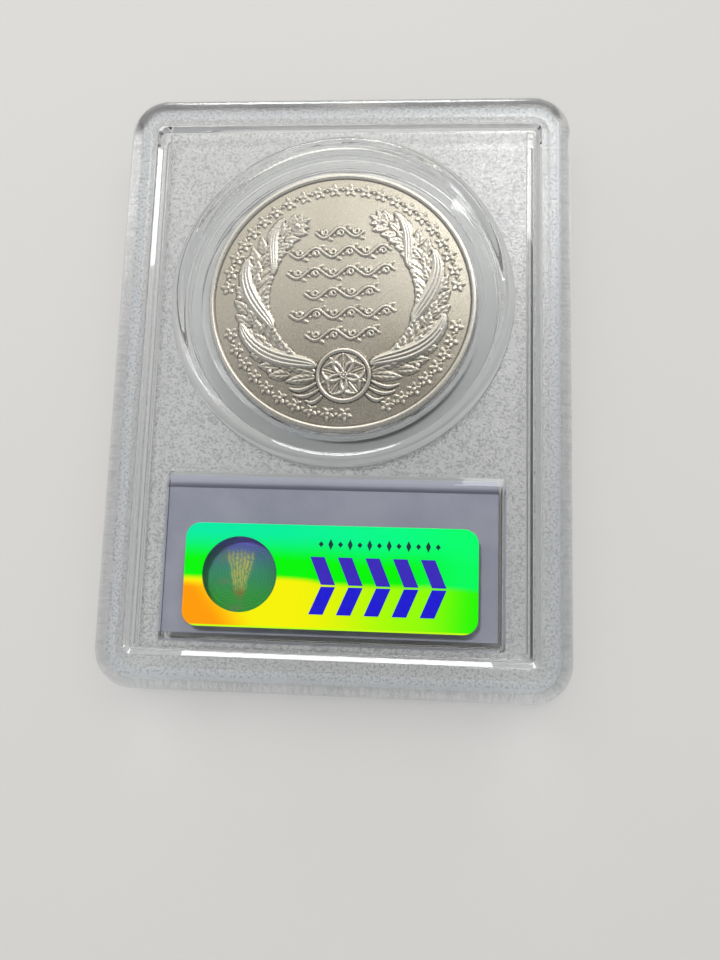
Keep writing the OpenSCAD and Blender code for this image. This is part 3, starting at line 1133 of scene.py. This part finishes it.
def seal_ground(g, y, lines):
    """Blue and violet above, green below, under fine engraved lines."""
    middle = SEAL_Y * MM
    tone = g.noise(330.0, 3.0, 0.6)
    green = g.ramp(y, middle - 0.0035, middle + 0.0005)
    base = g.mix(green, linear(6, 154, 44), linear(26, 142, 104))
    base = g.mix(g.ramp(y, middle - 0.0002, middle + 0.0042), base, linear(76, 102, 164))
    base = g.mix(g.ramp(tone, 0.52, 0.66, 0.0, 0.55), base, linear(96, 128, 92))
    top = g.ramp(y, middle + 0.0025, middle + 0.0046)
    violet = g.product(top, g.ramp(tone, 0.42, 0.55, 0.25, 0.9))
    base = g.mix(violet, base, linear(108, 86, 220))
    return g.mix(g.ramp(lines, 0.2, 0.95, 0.0, 0.34), base, linear(130, 170, 104))


def seal_spray(g, dx, dy):
    """How much of the spray shows: strokes that fan out upwards, broken by flecks."""
    spread = g.math("MULTIPLY_ADD", dy, 0.26, 0.00150)
    sway = g.math("MULTIPLY_ADD", g.noise(900.0), 0.0006, -0.0003)
    aside = g.math("DIVIDE", g.math("ABSOLUTE", g.math("ADD", dx, sway)), spread)
    strokes = g.math("COSINE", g.product(aside, 25.0))
    tall = g.product(g.ramp(dy, -0.0037, -0.0024), g.ramp(dy, 0.0022, 0.0036, 1.0, 0.0))
    shape = g.product(g.ramp(aside, 0.55, 1.05, 1.0, 0.0), tall)
    flecks = g.ramp(g.noise(2400.0, 2.0, 0.6), 0.36, 0.52, 0.3, 1.0)
    return g.product(shape, g.product(flecks, g.ramp(strokes, -0.6, 0.7, 0.3, 0.9)))


def seal_print(name):
    """The seal: wavy engraved circles with an olive spray of strokes over them."""
    g = Paint(name)
    x, y, _ = g.xyz()
    dx, dy = g.math("SUBTRACT", x, SEAL_X * MM), g.math("SUBTRACT", y, SEAL_Y * MM)
    r = g.math("SQRT", g.math("ADD", g.product(dx, dx), g.product(dy, dy)))
    turn = g.math("ARCTAN2", dy, dx)
    petals = g.product(g.math("SINE", g.product(turn, 14.0)), 0.0005)
    lines = g.math("SINE", g.product(g.math("ADD", r, petals), 2 * pi / 0.00045))
    olive = g.mix(g.ramp(dy, -0.0028, -0.0012), linear(156, 92, 44), linear(206, 196, 92))
    return g.surface(
        Base_Color=g.mix(seal_spray(g, dx, dy), seal_ground(g, y, lines), olive),
        Roughness=0.38, Coat_Weight=0.2, Coat_Roughness=0.15, Normal=g.bump(lines, 0.25, 0.00001),
    )


# ------------------------ the part


def shells():
    """The two halves of the case, with their tongue and groove."""
    plastics = [
        polished_plastic("clear_polystyrene"),
        frosted_plastic("frosted_polystyrene", 1.0),
        frosted_plastic("satin_polystyrene", 0.3),
    ]
    groove_depth, tongue_h = 1.0, 0.6
    rear = shell("rear_shell_moulding", plastics, groove_depth, turned_over=False)
    front = shell("front_shell_moulding", plastics, -tongue_h, turned_over=True)
    return rear, front


def build_part():
    """Makes every piece, lists the CAD node and slot name of each, and hides the nodes they
    replace.
    """
    rear, front = shells()
    ring_plastic = polished_plastic("ring_plastic", (0.98, 0.985, 0.985))
    pieces = [
        (rear, "rear_shell", "rear_polystyrene"),
        (front, "front_shell", "front_polystyrene"),
        (weld_seam("weld_bead", weld_plastic("weld_plastic")), "weld_seam", "weld_polystyrene"),
        (coin_ring("retainer_ring", ring_plastic), "coin_ring", "ring_plastic"),
        (coin("struck_coin", coin_silver("coin_silver")), "coin", "coin_silver"),
        (label_card("printed_card", card_print("card_print")), "label_card", "label_card"),
        (foil_strip("diffraction_strip", foil("diffraction_foil")), "foil_strip", "foil_strip"),
        (round_seal("engraved_seal", seal_print("seal_print")), "round_seal", "round_seal"),
    ]
    for piece, node, slot in pieces:
        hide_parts(node)
    blue = foil_ink("foil_blue", linear(14, 6, 235), linear(62, 38, 205))
    dark = foil_ink("foil_dark", linear(6, 60, 20), linear(6, 60, 20))
    for piece in (foil_marks("strip_ornament", blue), foil_ticks("strip_ticks", dark)):
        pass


# ------------------------ stage, light and camera


def floor():
    """A plain pale floor, just under the part."""
    mesh = bpy.data.meshes.new("floor")
    size, level = 1.5, -0.00005
    corners = [(x * size, y * size, level) for x, y in ((-1, -1), (1, -1), (1, 1), (-1, 1))]
    mesh.from_pydata(corners, [], [(0, 1, 2, 3)])
    g = Paint("floor_paint")
    tone = g.noise(6.0, 2.0)
    colour = g.mix(tone, (0.60, 0.59, 0.575), (0.64, 0.63, 0.615))
    mesh.materials.append(g.surface(Base_Color=colour, Roughness=0.85))
    placed("floor", mesh)


def softbox(name, direction, distance, size, power, mirrored=True, refracted=True, round_=False):
    """A lamp that faces the part from a direction. mirrored, refracted: where its image shows."""
    lamp = bpy.data.lights.new(name, "AREA")
    lamp.shape = "ELLIPSE" if round_ else "RECTANGLE"
    lamp.size, lamp.size_y = size
    lamp.energy = power
    lamp.cycles.use_multiple_importance_sampling = mirrored
    item = placed(name, lamp)
    way = Vector(direction).normalized()
    item.location = way * distance
    item.rotation_euler = way.to_track_quat("Z", "Y").to_euler()
    item.visible_glossy = mirrored
    item.visible_transmission = refracted
    item.visible_camera = False


def studio_room():
    """A soft room: bright beyond the coin end of the case, dim behind the viewer and overhead."""
    world = bpy.data.worlds.new("studio")
    g = Graph(world)
    way = g.add("TexCoord", out=0)
    toward = g.add("VectorMath", {0: way, 1: (0.10, 0.95, 0.28)}, 1, operation="DOT_PRODUCT")
    overhead = g.add("VectorMath", {0: way, 1: (0.05, 0.0, 1.0)}, 1, operation="DOT_PRODUCT")
    colour = g.mix(g.ramp(toward, 0.36, 0.84), (0.36, 0.365, 0.375), (1.08, 1.06, 1.0))
    strength = g.ramp(overhead, 0.885, 0.99, 1.0, 0.25)
    room = g.add("Background", {"Color": colour, "Strength": strength})
    g.node("OutputWorld", {"Surface": room})
    world.cycles.sampling_method = "NONE"
    bpy.context.scene.world = world


def lights():
    """A small lamp that shapes the relief, a soft one, a bright window beyond, and the room."""
    softbox("key", (-0.14, 0.21, 0.965), 0.60, (0.045, 0.045), 1.9, False, False)
    softbox("sheen", (0.24, 0.55, 0.80), 0.60, (0.16, 0.16), 0.30)
    softbox("far_window", (-0.09, 0.99, 0.105), 0.80, (0.40, 0.25), 2.6, True, False, True)
    studio_room()


def camera():
    """Close above the lower half of the case, looking down and a little towards the coin.

    Its place, turn and lens were fitted to the photo's outline of the case and rim of the coin.
    """
    lens = bpy.data.cameras.new("camera")
    lens.lens = 27.04
    lens.sensor_width = 36.0
    lens.clip_start = 0.005
    eye = placed("camera", lens)
    eye.location = (0.00978, -0.02587, 0.10294)
    eye.rotation_euler = Euler([radians(a) for a in (7.28, 3.516, 1.749)])
    bpy.context.scene.camera = eye


def light_paths():
    """Enough bounces for rays to cross both shells and the ring, and plain colours."""
    scene = bpy.context.scene
    scene.cycles.max_bounces = 20
    scene.cycles.transmission_bounces = 20
    scene.cycles.transparent_max_bounces = 32
    scene.view_settings.view_transform = "Standard"


build_part()
floor()
lights()
camera()
light_paths()
